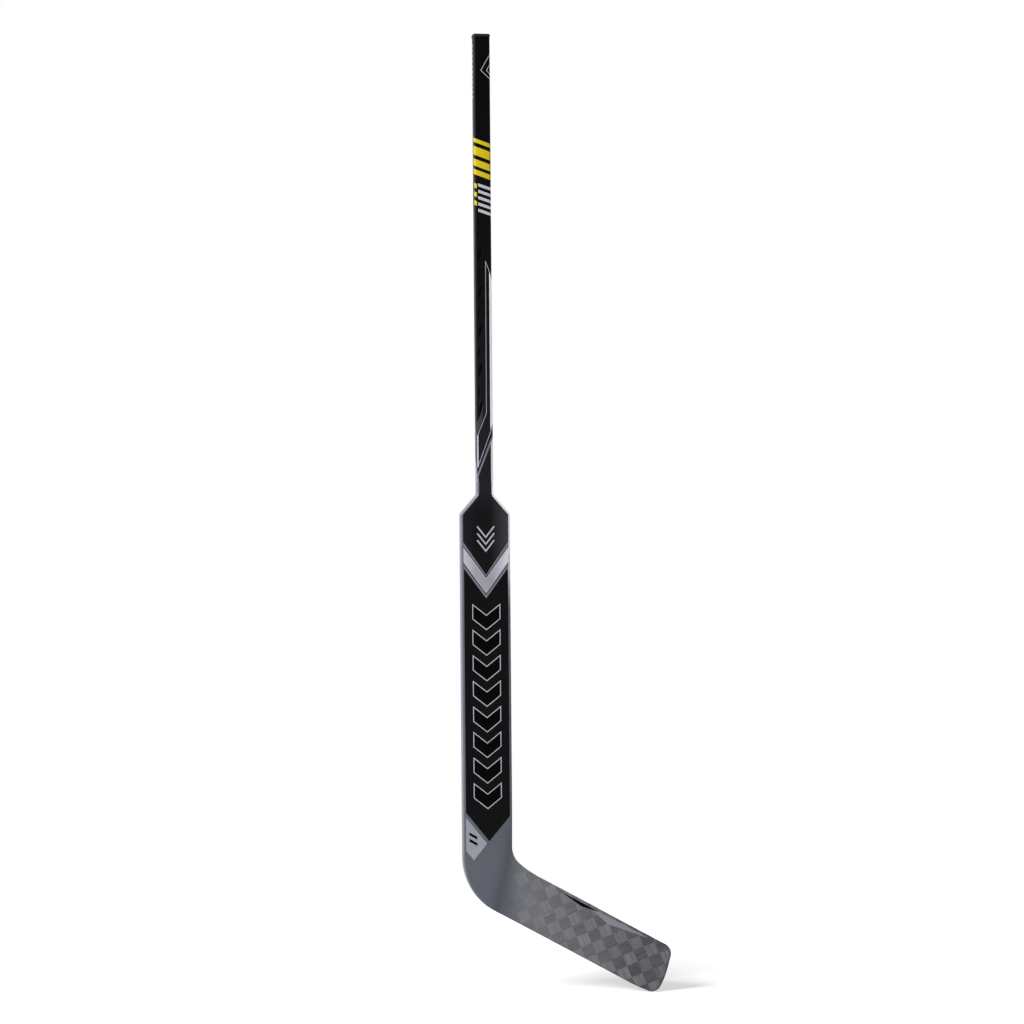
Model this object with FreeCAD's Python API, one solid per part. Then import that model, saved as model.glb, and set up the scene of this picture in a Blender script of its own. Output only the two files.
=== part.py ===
import FreeCAD
import Part
import math
import os

from FreeCAD import Vector

# Ice hockey goalie stick: a hollow shaft, a widened paddle and a curved blade, laid up over foam cores.
# Millimetres. +Z runs up the shaft, +X points from the heel to the toe, and -Y is the front, forehand face.
# The origin is on the shaft's axis, where the shaft meets the paddle's neck.

# Shaft and paddle share one depth, so that the neck is flush
BODY_DEPTH = 21.0
EDGE_RADIUS = 3.6
GLUE_GAP = 0.15

# Shaft
SHAFT_WIDTH = 29.0
SHAFT_LENGTH = 775.0
SHAFT_WALL = 1.8

# End cap
CAP_HEIGHT = 5.0
CAP_LIP = 0.7
CAP_CHAMFER = 1.4
CAP_PLUG_LENGTH = 32.0
CAP_PLUG_WALL = 2.4
CAP_CLEARANCE = 0.3
CAP_RIB_WIDTH = 1.6
CAP_RIB_PITCH = 7.0
CAP_RIB_COUNT = 3
CAP_RIB_LEAD = 3.0

# Spigot that joins the shaft to the paddle
SPIGOT_UP = 110.0
SPIGOT_DOWN = 150.0
SPIGOT_WALL = 4.0

# Paddle
PADDLE_WIDTH = 87.0
PADDLE_LENGTH = 662.5
NECK_HEIGHT = 22.5
NECK_FILLET = 10.0
SHOULDER_HEIGHT = 33.5
SHOULDER_ROUND = 7.0
SKIN = 1.8
RAIL_WIDTH = 6.0
RIB_WALL = 1.8
HEEL_BLOCK_HEIGHT = 125.0

# Heel and throat
LIE_DROP = 28.9
HEEL_RADIUS = 108.5
THROAT_TIGHT_RADIUS = 41.0
THROAT_EASY_RADIUS = 200.0
THROAT_TIGHT_TURN = 48.7
THROAT_LINK = 0.8
RAMP_TILT = 12.0
RAMP_START = 3.0
RAMP_LENGTH = 36.0
JOINT_LAND = 4.0

# Blade
BLADE_LENGTH = 381.5
BLADE_HEIGHT = 88.2
BLADE_THICKNESS = 10.5
BLADE_THINNING = 1.6
CURVE_RADIUS = 1300.0
CURVE_LEAD = 4.0
ROCKER_REACH = 38.0
ROCKER_RADIUS = 200.0
ROCKER_TURN = 6.0
TOE_BOTTOM_RADIUS = 17.0
TOE_BREAK_HEIGHT = 38.0
TOE_BREAK_RADIUS = 150.0
TOE_RAKE = 12.5
TOE_TOP_RADIUS = 18.0

# Tenon plate between the heel block and the blade cores
TENON_THICKNESS = 4.0
TENON_HEEL_REACH = 48.0
TENON_BLADE_REACH = 40.0
TENON_HEIGHT = 44.0

# Decal films, with heights down from the shoulder and up from the heel
FILM = 0.2
CREST_BORDER = 3.7
CREST_SIDE_DROP = 49.0
CREST_POINT_DROP = 57.3
CHEVRON_BORDER = 4.0
CHEVRON_GAP = 9.2
CHEVRON_BAND = 26.7
CHEVRON_POINT_DROP = 54.0
PANEL_BORDER = 4.7
PANEL_GAP = 9.9
PANEL_NOTCH_DROP = 52.7
PANEL_FOOT_HEIGHT = 143.2
PANEL_FOOT_STEP = 8.0
PANEL_POINT_DROP = 51.0
PANEL_POINT_OUT = 2.1
KITE_GAP = 9.1
KITE_SIDE_DROP = 57.7
KITE_TIP_BACK = 1.9
KITE_FOOT_BACK = 25.0
KITE_FOOT_DROP = 28.4

# Flashes along the blade's top edge. Shares of the blade's length place their corners: the heel tip,
# the lowest point and the toe tip, and on the pale one the shoulder beside the dark one's end
FLASH_MARGIN = 4.7
DARK_FLASH_SHARES = (0.388, 0.514, 0.592)
DARK_FLASH_DEPTH = 6.0
PALE_FLASH_SHARES = (0.572, 0.655, 0.849, 0.597)
PALE_FLASH_DEPTH = 12.0
PALE_FLASH_HEEL_DEPTH = 3.0

# How much of a wall or a side a rounding may take, and how far a direction counts as along an axis
WALL_LIMIT_SHARE = 0.45
SIDE_LIMIT_SHARE = 0.995
MOSTLY_SHARE = 0.5
WHOLLY_SHARE = 0.99

# Derived sizes and places
HALF_DEPTH = BODY_DEPTH / 2
HALF_SHAFT = SHAFT_WIDTH / 2
HALF_CELL = HALF_SHAFT - SHAFT_WALL
HALF_PADDLE = PADDLE_WIDTH / 2
HALF_BLADE = BLADE_THICKNESS / 2
MID_BLADE = BLADE_HEIGHT / 2
SHOULDER_Z = -NECK_HEIGHT - SHOULDER_HEIGHT
HEEL_Z = SHOULDER_Z - PADDLE_LENGTH
BLOCK_Z = HEEL_Z + HEEL_BLOCK_HEIGHT
DROP = math.radians(LIE_DROP)
TILT = math.radians(RAMP_TILT)
RAMP_END = RAMP_START + RAMP_LENGTH
JOINT_OUT = RAMP_END + JOINT_LAND
EDGE_ROUND = min(EDGE_RADIUS, WALL_LIMIT_SHARE * (BLADE_THICKNESS - BLADE_THINNING))
BORE_ROUND = max(EDGE_ROUND - SHAFT_WALL, 0)
REACH = PADDLE_LENGTH + BLADE_LENGTH

FRONT = -1
BACK = 1


# Places on the blade, measured from the heel point

def blade_point(along, up):
    """X and Z of a point so far along the blade's sole from the heel, and so far up from the sole."""
    x = -HALF_PADDLE + along * math.cos(DROP) + up * math.sin(DROP)
    z = HEEL_Z - along * math.sin(DROP) + up * math.cos(DROP)
    return x, z


def joint_along(up):
    """Distance along the sole at which the heel's joint crosses this height of the blade."""
    turn = DROP - TILT
    return (JOINT_OUT + HALF_PADDLE * math.cos(TILT) - up * math.sin(turn)) / math.cos(turn)


# Outlines with rounded corners, in the front plane

def tangent_length(before, corner, after, radius):
    """How far the arc's ends lie from a rounded corner."""
    return radius * math.tan((corner - before).getAngle(after - corner) / 2)


def corner_wire(corners):
    """Closed wire through (x, z, radius) corners, each rounded by a tangent arc."""
    points = [Vector(x, 0, z) for x, z, radius in corners]
    ends = []
    for i, point in enumerate(points):
        before = points[i - 1]
        after = points[(i + 1) % len(points)]
        radius = corners[i][2]
        back = (before - point).normalize()
        ahead = (after - point).normalize()
        length = tangent_length(before, point, after, radius)
        middle = None
        if radius > 0:
            bisector = (back + ahead).normalize()
            middle = point + bisector * (radius / math.sin(back.getAngle(ahead) / 2) - radius)
        ends.append((point + back * length, middle, point + ahead * length))
    edges = []
    for i, (first, middle, last) in enumerate(ends):
        if middle is not None:
            edges.append(Part.Arc(first, middle, last).toShape())
        edges.append(Part.LineSegment(last, ends[(i + 1) % len(ends)][0]).toShape())
    return Part.Wire(edges)


def limited_corners(corners):
    """The same corners, with the radii cut back where two arcs would meet on the side between them."""
    count = len(corners)
    points = [Vector(x, 0, z) for x, z, radius in corners]
    lengths = []
    for i, point in enumerate(points):
        lengths.append(tangent_length(points[i - 1], point, points[(i + 1) % count], corners[i][2]))
    limited = []
    for i, (x, z, radius) in enumerate(corners):
        share = 1
        for other in (i - 1, (i + 1) % count):
            room = SIDE_LIMIT_SHARE * points[i].distanceToPoint(points[other])
            taken = lengths[i] + lengths[other]
            if taken > room:
                share = min(share, room / taken)
        limited.append((x, z, radius * share))
    return limited


def inset_corners(corners, inset, open_side):
    """The same corners with every side moved in, except the side that starts at corner open_side."""
    count = len(corners)
    points = [Vector(x, 0, z) for x, z, radius in corners]
    sides = []
    for i, point in enumerate(points):
        direction = (points[(i + 1) % count] - point).normalize()
        inward = Vector(-direction.z, 0, direction.x)
        sides.append((point + inward * (0 if i == open_side else inset), direction))
    moved = []
    for i in range(count):
        base, direction = sides[i - 1]
        next_base, next_direction = sides[i]
        gap = next_base - base
        cross = direction.x * next_direction.z - direction.z * next_direction.x
        reach = (gap.x * next_direction.z - gap.z * next_direction.x) / cross
        point = base + direction * reach
        radius = corners[i][2]
        if radius > 0:
            radius = max(radius - inset, 0) if cross > 0 else radius + inset
        moved.append((point.x, point.z, radius))
    return moved


def outline_corners():
    """Corners of the paddle and blade, anticlockwise from the front, starting at the neck's top left."""
    tight_turn = math.radians(THROAT_TIGHT_TURN)
    easy_turn = math.pi / 2 - DROP - tight_turn
    link = THROAT_TIGHT_RADIUS * math.tan(tight_turn / 2) + THROAT_LINK
    link += THROAT_EASY_RADIUS * math.tan(easy_turn / 2)
    easy_x = HALF_PADDLE + link * math.sin(tight_turn)
    easy_along = (easy_x + HALF_PADDLE - BLADE_HEIGHT * math.sin(DROP)) / math.cos(DROP)
    easy_z = blade_point(easy_along, BLADE_HEIGHT)[1]
    tight_z = easy_z + link * math.cos(tight_turn)
    rocker_along = BLADE_LENGTH - ROCKER_REACH
    toe_up = ROCKER_REACH * math.tan(math.radians(ROCKER_TURN))
    lean = (BLADE_HEIGHT - TOE_BREAK_HEIGHT) * math.tan(math.radians(TOE_RAKE))
    return [
        (-HALF_SHAFT, 0, 0),
        (-HALF_SHAFT, -NECK_HEIGHT, NECK_FILLET),
        (-HALF_PADDLE, SHOULDER_Z, SHOULDER_ROUND),
        (-HALF_PADDLE, HEEL_Z, HEEL_RADIUS),
        (*blade_point(rocker_along, 0), ROCKER_RADIUS),
        (*blade_point(BLADE_LENGTH, toe_up), TOE_BOTTOM_RADIUS),
        (*blade_point(BLADE_LENGTH, TOE_BREAK_HEIGHT), TOE_BREAK_RADIUS),
        (*blade_point(BLADE_LENGTH - lean, BLADE_HEIGHT), TOE_TOP_RADIUS),
        (easy_x, easy_z, THROAT_EASY_RADIUS),
        (HALF_PADDLE, tight_z, THROAT_TIGHT_RADIUS),
        (HALF_PADDLE, SHOULDER_Z, SHOULDER_ROUND),
        (HALF_SHAFT, -NECK_HEIGHT, NECK_FILLET),
        (HALF_SHAFT, 0, 0),
    ]


OUTLINE = limited_corners(outline_corners())
NECK_SIDE = len(OUTLINE) - 1


# Simple solids

def box(x0, x1, y0, y1, z0, z1):
    """Box between two values of each coordinate."""
    return Part.makeBox(x1 - x0, y1 - y0, z1 - z0, Vector(x0, y0, z0))


def plate(wire, y0, y1):
    """A front-plane wire filled and given thickness from y0 to y1."""
    face = Part.Face(wire)
    face.translate(Vector(0, y0, 0))
    return face.extrude(Vector(0, y1 - y0, 0))


def through(wire):
    """A front-plane wire carried through everything in front of it and behind it."""
    return plate(wire, -REACH, REACH)


def inset_through(inset):
    """The outline, moved in, carried through."""
    return through(corner_wire(inset_corners(OUTLINE, inset, NECK_SIDE)))


def polygon(points):
    """Closed wire of straight sides through (x, z) points."""
    return corner_wire([(x, z, 0) for x, z in points])


def blade_polygon(places):
    """Closed wire of straight sides through (along, up) places on the blade."""
    return polygon([blade_point(along, up) for along, up in places])


def rounded_bar(width, depth, radius, z0, z1):
    """Upright bar of rounded-rectangle section, centred on the shaft's axis."""
    bar = box(-width / 2, width / 2, -depth / 2, depth / 2, z0, z1)
    if radius <= 0:
        return bar
    upright = [edge for edge in bar.Edges if abs(edge.tangentAt(edge.FirstParameter).z) > MOSTLY_SHARE]
    return bar.makeFillet(radius, upright)


# Layers through the depth: each is a face of the stick, front or back, and how far below it

def heel_curve(side, depth):
    """Plan of one layer of paddle and heel: flat, then an S of two equal arcs down to the blade's face."""
    fall = HALF_DEPTH - HALF_BLADE
    angle = 2 * math.atan(fall / RAMP_LENGTH)
    radius = RAMP_LENGTH / (2 * math.sin(angle))

    def crest(turn):
        """A point on the arc that leaves the paddle's face."""
        out = RAMP_START + (radius - depth) * math.sin(turn)
        return Vector(out, side * (HALF_DEPTH - radius + (radius - depth) * math.cos(turn)), 0)

    def foot(turn):
        """A point on the arc that runs out into the blade's face."""
        out = RAMP_END - (radius + depth) * math.sin(turn)
        return Vector(out, side * (HALF_BLADE + radius - (radius + depth) * math.cos(turn)), 0)

    start = Vector(-REACH, side * (HALF_DEPTH - depth), 0)
    end = Vector(JOINT_OUT, side * (HALF_BLADE - depth), 0)
    return [
        Part.LineSegment(start, crest(0)).toShape(),
        Part.Arc(crest(0), crest(angle / 2), crest(angle)).toShape(),
        Part.Arc(foot(angle), foot(angle / 2), foot(0)).toShape(),
        Part.LineSegment(foot(0), end).toShape(),
    ]


def blade_curve(side, depth):
    """Plan of one layer of the blade: flat from the joint, then an arc towards the front."""
    curved = BLADE_LENGTH - joint_along(0) - CURVE_LEAD
    back_bend = 1 / CURVE_RADIUS + 2 * BLADE_THINNING / curved ** 2
    radius = CURVE_RADIUS if side == FRONT else 1 / back_bend
    layer_radius = radius - side * depth
    centre = side * HALF_BLADE - radius
    sweep = BLADE_LENGTH / CURVE_RADIUS

    def on_arc(turn):
        """A point on the arc, turned so far from its start."""
        return Vector(layer_radius * math.sin(turn), centre + layer_radius * math.cos(turn), 0)

    start = Vector(-BLADE_LENGTH, side * (HALF_BLADE - depth), 0)
    return [
        Part.LineSegment(start, on_arc(0)).toShape(),
        Part.Arc(on_arc(0), on_arc(sweep / 2), on_arc(sweep)).toShape(),
    ]


def between(lower, upper):
    """Upright solid whose plan lies between two layer curves that run the same way."""
    start = Part.LineSegment(lower[0].firstVertex().Point, upper[0].firstVertex().Point).toShape()
    end = Part.LineSegment(lower[-1].lastVertex().Point, upper[-1].lastVertex().Point).toShape()
    face = Part.Face(Part.Wire(Part.__sortEdges__([start, *lower, end, *upper])))
    face.translate(Vector(0, 0, -2 * REACH))
    return face.extrude(Vector(0, 0, 4 * REACH))


def leaning(shape, angle, x, z):
    """A shape tilted towards +X about the depth axis, then set down at a place in the front plane."""
    shape.rotate(Vector(0, 0, 0), Vector(0, 1, 0), angle)
    shape.translate(Vector(x, 0, z))
    return shape


def heel_layer(lower, upper):
    """Paddle and heel between two layers."""
    return leaning(between(heel_curve(*lower), heel_curve(*upper)), RAMP_TILT, 0, HEEL_Z)


def blade_layer(lower, upper):
    """Blade between two layers. The curve's axis stands square to the sole."""
    layer = between(blade_curve(*lower), blade_curve(*upper))
    x, z = blade_point(joint_along(0) + CURVE_LEAD, 0)
    return leaning(layer, LIE_DROP, x, z).common(BLADE_SIDE)


PADDLE_SIDE = leaning(box(-2 * REACH, JOINT_OUT, -REACH, REACH, -REACH, 2 * REACH), RAMP_TILT, 0, HEEL_Z)
BLADE_SIDE = leaning(box(JOINT_OUT, 2 * REACH, -REACH, REACH, -REACH, 2 * REACH), RAMP_TILT, 0, HEEL_Z)


# The whole moulding of paddle and blade, which the pieces are cut from

def perimeter_edges(shape):
    """Edges between the moulding's faces and its rim, leaving out the neck's cut end."""
    found = []
    for edge in shape.Edges:
        middle = edge.valueAt((edge.FirstParameter + edge.LastParameter) / 2)
        faces = shape.ancestorsOfType(edge, Part.Face)
        normals = [face.normalAt(*face.Surface.parameter(middle)) for face in faces]
        broad = [normal for normal in normals if abs(normal.y) > MOSTLY_SHARE]
        neck_end = [normal for normal in normals if normal.z > WHOLLY_SHARE]
        if len(broad) == 1 and not neck_end:
            found.append(edge)
    return found


def moulding():
    """Paddle, heel and blade in one, with the whole rim rounded."""
    whole = heel_layer((FRONT, 0), (BACK, 0)).fuse(blade_layer((FRONT, 0), (BACK, 0)))
    body = through(corner_wire(OUTLINE)).common(whole).removeSplitter()
    return body.makeFillet(EDGE_ROUND, perimeter_edges(body))


# Shaft, cap and spigot

def shaft_tube():
    """Hollow shaft, open at both ends until the cap and the spigot close it."""
    tube = rounded_bar(SHAFT_WIDTH, BODY_DEPTH, EDGE_ROUND, 0, SHAFT_LENGTH)
    bore_depth = BODY_DEPTH - 2 * SHAFT_WALL
    return tube.cut(rounded_bar(2 * HALF_CELL, bore_depth, BORE_ROUND, 0, SHAFT_LENGTH))


def butt_cap():
    """Moulded cap: a lipped head on the tube's end, and a hollow plug held by crush ribs."""
    top = SHAFT_LENGTH + CAP_HEIGHT
    head_width = SHAFT_WIDTH + 2 * CAP_LIP
    head_depth = BODY_DEPTH + 2 * CAP_LIP
    head = rounded_bar(head_width, head_depth, EDGE_ROUND + CAP_LIP, SHAFT_LENGTH, top)
    rim = [edge for edge in head.Edges if edge.BoundBox.ZMin > SHAFT_LENGTH + CAP_HEIGHT / 2]
    head = head.makeChamfer(min(CAP_CHAMFER, WALL_LIMIT_SHARE * CAP_HEIGHT), rim)
    plug_foot = SHAFT_LENGTH - CAP_PLUG_LENGTH
    plug_width = 2 * (HALF_CELL - CAP_CLEARANCE)
    bore_depth = BODY_DEPTH - 2 * SHAFT_WALL
    plug_depth = bore_depth - 2 * CAP_CLEARANCE
    plug = rounded_bar(plug_width, plug_depth, BORE_ROUND, plug_foot, SHAFT_LENGTH)
    rib_foot = plug_foot + CAP_RIB_LEAD
    half_rib = CAP_RIB_WIDTH / 2
    for i in range(CAP_RIB_COUNT):
        middle = (i - (CAP_RIB_COUNT - 1) / 2) * CAP_RIB_PITCH
        rib = box(middle - half_rib, middle + half_rib, -bore_depth / 2, bore_depth / 2, rib_foot, SHAFT_LENGTH)
        plug = plug.fuse(rib)
    plug = plug.fuse(box(-HALF_CELL, HALF_CELL, -half_rib, half_rib, rib_foot, SHAFT_LENGTH))
    hollow_width = plug_width - 2 * CAP_PLUG_WALL
    hollow_depth = plug_depth - 2 * CAP_PLUG_WALL
    hollow = rounded_bar(hollow_width, hollow_depth, 0, plug_foot, SHAFT_LENGTH)
    return head.fuse(plug.cut(hollow)).removeSplitter()


def neck_spigot():
    """Tubular spigot glued up into the shaft and down between the paddle's skins and ribs."""
    width = 2 * (HALF_CELL - GLUE_GAP)
    upper = rounded_bar(width, BODY_DEPTH - 2 * SHAFT_WALL, BORE_ROUND, 0, SPIGOT_UP)
    lower = rounded_bar(width, BODY_DEPTH - 2 * SKIN, BORE_ROUND, -SPIGOT_DOWN, 0)
    hollow_width = width - 2 * SPIGOT_WALL
    hollow_depth = BODY_DEPTH - 2 * max(SHAFT_WALL, SKIN) - 2 * SPIGOT_WALL
    hollow = rounded_bar(hollow_width, hollow_depth, 0, -SPIGOT_DOWN, SPIGOT_UP)
    return upper.fuse(lower).removeSplitter().cut(hollow)


def spigot_socket():
    """Room for the spigot in the paddle: the cell between the ribs, from skin to skin."""
    face = HALF_DEPTH - SKIN
    return box(-HALF_CELL, HALF_CELL, -face, face, -SPIGOT_DOWN, GLUE_GAP)


# Tenon between heel and blade

def tenon_room(spare):
    """The tenon's block, with so much to spare at its ends and edges."""
    middle = joint_along(MID_BLADE)
    start = middle - TENON_HEEL_REACH - spare
    end = middle + TENON_BLADE_REACH + spare
    low = MID_BLADE - TENON_HEIGHT / 2 - spare
    high = MID_BLADE + TENON_HEIGHT / 2 + spare
    wire = blade_polygon([(start, low), (end, low), (end, high), (start, high)])
    return plate(wire, -TENON_THICKNESS / 2, TENON_THICKNESS / 2)


def rib_room(spare):
    """The blade's middle rib, from the joint past the toe, with so much to spare."""
    low = MID_BLADE - RIB_WALL / 2 - spare
    high = MID_BLADE + RIB_WALL / 2 + spare
    wire = blade_polygon([(0, low), (2 * BLADE_LENGTH, low), (2 * BLADE_LENGTH, high), (0, high)])
    return through(wire).common(BLADE_SIDE)


# Decals

def paddle_film(side, shape):
    """A decal on one face of the paddle."""
    return heel_layer((side, -FILM), (side, 0)).common(shape)


def crest_shape():
    """Panel under the neck: the moulding's own outline moved in, ending in a point."""
    half = HALF_PADDLE - CREST_BORDER
    foot = SHOULDER_Z - CREST_SIDE_DROP
    cut = polygon([(-half, 0), (-half, foot), (0, foot - CREST_POINT_DROP), (half, foot), (half, 0)])
    return inset_through(CREST_BORDER).common(through(cut))


def chevron_shape():
    """Bright chevron under the crest."""
    half = HALF_PADDLE - CHEVRON_BORDER
    top = SHOULDER_Z - CREST_SIDE_DROP - CHEVRON_GAP
    foot = top - CHEVRON_BAND
    return through(polygon([
        (-half, top),
        (-half, foot),
        (0, foot - CHEVRON_POINT_DROP),
        (half, foot),
        (half, top),
        (0, top - CHEVRON_POINT_DROP),
    ]))


def panel_shape():
    """Long panel down the paddle, notched at the top, with a foot that is higher on the heel side."""
    half = HALF_PADDLE - PANEL_BORDER
    top = SHOULDER_Z - CREST_SIDE_DROP - CHEVRON_GAP - CHEVRON_BAND - PANEL_GAP
    foot = HEEL_Z + PANEL_FOOT_HEIGHT
    return through(polygon([
        (-half, top),
        (-half, foot),
        (PANEL_POINT_OUT, foot - PANEL_POINT_DROP),
        (half, foot - PANEL_FOOT_STEP),
        (half, top),
        (0, top - PANEL_NOTCH_DROP),
    ]))


def kite_shape():
    """Pale kite beside the panel's point, on the heel side, with its long edge along the panel's foot."""
    half = HALF_PADDLE - PANEL_BORDER
    top = HEEL_Z + PANEL_FOOT_HEIGHT - KITE_GAP
    tip = top - PANEL_POINT_DROP * (half - KITE_TIP_BACK) / (half + PANEL_POINT_OUT)
    return through(polygon([
        (-half, top),
        (-half, top - KITE_SIDE_DROP),
        (-KITE_FOOT_BACK, tip - KITE_FOOT_DROP),
        (-KITE_TIP_BACK, tip),
    ]))


def blade_flash(shares, depths):
    """Slim flash under the blade's top edge, on a film of glue, each corner so far below the margin."""
    high = BLADE_HEIGHT - FLASH_MARGIN
    corners = [(share * BLADE_LENGTH, high - depth) for share, depth in zip(shares, depths)]
    wire = blade_polygon(corners)
    return blade_layer((FRONT, -GLUE_GAP - FILM), (FRONT, -GLUE_GAP)).common(through(wire))


# Assembly

def by_x(shape):
    """The solids of a shape, from the heel side to the toe side."""
    return sorted(shape.Solids, key=lambda solid: solid.CenterOfMass.x)


def by_z(shape):
    """The solids of a shape, from the lowest up."""
    return sorted(shape.Solids, key=lambda solid: solid.CenterOfMass.z)


def build():
    """Every piece of the stick, by node name."""
    body = moulding()
    inner = inset_through(RAIL_WIDTH)
    rails = body.common(PADDLE_SIDE).cut(inner).cut(spigot_socket())
    heel_rail, toe_rail = by_x(rails)
    paddle_inner = inner.common(PADDLE_SIDE).common(box(-REACH, REACH, -REACH, REACH, -2 * REACH, 0))
    blade_inner = inner.common(BLADE_SIDE)

    core = paddle_inner.common(heel_layer((FRONT, SKIN), (BACK, SKIN)))
    above_block = box(-REACH, REACH, -REACH, REACH, BLOCK_Z, REACH)
    heel_block = core.cut(above_block).cut(tenon_room(GLUE_GAP))
    paddle_core = core.common(above_block).cut(spigot_socket())
    rib_out = HALF_CELL + RIB_WALL
    heel_rib_room = box(-rib_out, -HALF_CELL, -REACH, REACH, -2 * REACH, REACH)
    toe_rib_room = box(HALF_CELL, rib_out, -REACH, REACH, -2 * REACH, REACH)
    heel_core, centre_core, toe_core = by_x(paddle_core.cut(heel_rib_room).cut(toe_rib_room))

    blade_core = blade_inner.common(blade_layer((FRONT, SKIN), (BACK, SKIN)))
    foam = blade_core.cut(rib_room(0)).cut(tenon_room(GLUE_GAP))
    lower_core, upper_core = by_z(foam)
    pale_depths = (PALE_FLASH_HEEL_DEPTH, PALE_FLASH_DEPTH, 0, 0)

    return {
        "butt_cap": butt_cap(),
        "shaft_tube": shaft_tube(),
        "neck_spigot": neck_spigot(),
        "paddle_heel_rail": heel_rail,
        "paddle_toe_rail": toe_rail,
        "paddle_front_skin": paddle_inner.common(heel_layer((FRONT, 0), (FRONT, SKIN))),
        "paddle_back_skin": paddle_inner.common(heel_layer((BACK, SKIN), (BACK, 0))),
        "paddle_heel_rib": paddle_core.common(heel_rib_room),
        "paddle_toe_rib": paddle_core.common(toe_rib_room),
        "paddle_heel_core": heel_core,
        "paddle_centre_core": centre_core,
        "paddle_toe_core": toe_core,
        "heel_block": heel_block,
        "heel_tenon": tenon_room(0).cut(rib_room(GLUE_GAP)),
        "blade_rim": body.common(BLADE_SIDE).cut(inner),
        "blade_front_skin": blade_inner.common(blade_layer((FRONT, 0), (FRONT, SKIN))),
        "blade_back_skin": blade_inner.common(blade_layer((BACK, SKIN), (BACK, 0))),
        "blade_rib": blade_core.common(rib_room(0)),
        "blade_upper_core": upper_core,
        "blade_lower_core": lower_core,
        "front_crest_decal": paddle_film(FRONT, crest_shape()),
        "front_chevron_decal": paddle_film(FRONT, chevron_shape()),
        "front_panel_decal": paddle_film(FRONT, panel_shape()),
        "heel_kite_decal": paddle_film(FRONT, kite_shape()),
        "back_crest_decal": paddle_film(BACK, crest_shape()),
        "back_chevron_decal": paddle_film(BACK, chevron_shape()),
        "back_panel_decal": paddle_film(BACK, panel_shape()),
        "blade_dark_flash": blade_flash(DARK_FLASH_SHARES, (0, DARK_FLASH_DEPTH, 0)),
        "blade_pale_flash": blade_flash(PALE_FLASH_SHARES, pale_depths),
    }


os.makedirs("parts", exist_ok=True)
for name, shape in build().items():
    solids = shape.Solids
    print(name, len(solids), shape.isValid(), round(shape.Volume))
    solids[0].exportStep("parts/" + name + ".step")
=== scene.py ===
# %% [markdown]
# # A goalie stick in carbon
# A goalie stick is a hollow shaft, a wide paddle under it and a curved blade, moulded from carbon over
# foam. The solids come from CAD with every piece in its place, so this lesson only dresses them: it gives
# each piece the finish of the real material, and adds the printed films that are too thin to be worth a
# solid. The frame is in metres: +Z runs up the shaft, +X points from the heel to the toe, and -Y is the
# front face.

# %% Load the solids
import math

import bmesh
import bpy
from mathutils import Matrix, Vector


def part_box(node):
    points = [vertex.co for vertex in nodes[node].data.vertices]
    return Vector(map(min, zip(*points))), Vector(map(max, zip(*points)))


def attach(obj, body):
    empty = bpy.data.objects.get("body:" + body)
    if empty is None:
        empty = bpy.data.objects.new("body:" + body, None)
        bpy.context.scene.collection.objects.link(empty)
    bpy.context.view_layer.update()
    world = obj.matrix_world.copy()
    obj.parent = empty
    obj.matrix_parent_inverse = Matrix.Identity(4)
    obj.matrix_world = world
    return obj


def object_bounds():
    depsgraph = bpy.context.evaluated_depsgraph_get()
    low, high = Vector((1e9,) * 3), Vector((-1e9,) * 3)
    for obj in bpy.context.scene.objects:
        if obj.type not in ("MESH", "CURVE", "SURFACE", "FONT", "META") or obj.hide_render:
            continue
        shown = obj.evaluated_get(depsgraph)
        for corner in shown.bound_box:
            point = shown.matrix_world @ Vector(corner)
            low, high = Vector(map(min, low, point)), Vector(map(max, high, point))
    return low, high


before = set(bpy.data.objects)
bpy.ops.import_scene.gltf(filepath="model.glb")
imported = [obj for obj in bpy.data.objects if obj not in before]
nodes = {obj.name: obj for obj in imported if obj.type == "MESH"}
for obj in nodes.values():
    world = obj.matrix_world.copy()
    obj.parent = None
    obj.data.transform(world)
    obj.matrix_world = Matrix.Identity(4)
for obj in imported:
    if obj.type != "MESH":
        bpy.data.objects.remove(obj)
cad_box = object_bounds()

MM = 0.001
print("solids:", len(nodes), "box in mm:", [[round(v / MM) for v in corner] for corner in cad_box])

# %% [markdown]
# ## Colour and nodes
# Colours are written as sRGB hex, the way a paint shop or a screen gives them, and shaders need linear
# light, so one function converts them. Node trees could be built with one function for each kind of node,
# but a single small function that adds any node, with its settings and its links, keeps every material
# readable in one place. A link may name the node it comes from instead of a socket, and then the node's
# first output is meant.

# %% Helpers for materials
def linear(hex_colour):
    """sRGB hex to the linear colour that a shader takes."""
    channels = [int(hex_colour[i:i + 2], 16) / 255 for i in (1, 3, 5)]
    return [c / 12.92 if c <= 0.04045 else ((c + 0.055) / 1.055) ** 2.4 for c in channels] + [1.0]


def connect(node, inputs):
    """Fills a node's input sockets with values, or links them to the nodes or sockets that feed them."""
    for name, source in inputs.items():
        if isinstance(source, bpy.types.Node):
            source = next(output for output in source.outputs if output.enabled)
        if isinstance(source, bpy.types.NodeSocket):
            node.id_data.links.new(source, node.inputs[name])
        else:
            node.inputs[name].default_value = source


def add(tree, kind, inputs=None, stops=(), **settings):
    """Adds a shader node with its settings and inputs. The stops, in rising order, fill a colour ramp."""
    made = tree.nodes.new("ShaderNode" + kind)
    for key, value in settings.items():
        setattr(made, key, value)
    connect(made, inputs or {})
    for index, (place, colour) in enumerate(stops):
        ramp = made.color_ramp.elements
        stop = ramp[index] if index < len(ramp) else ramp.new(place)
        stop.position = place
        stop.color = linear(colour)
    return made


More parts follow.
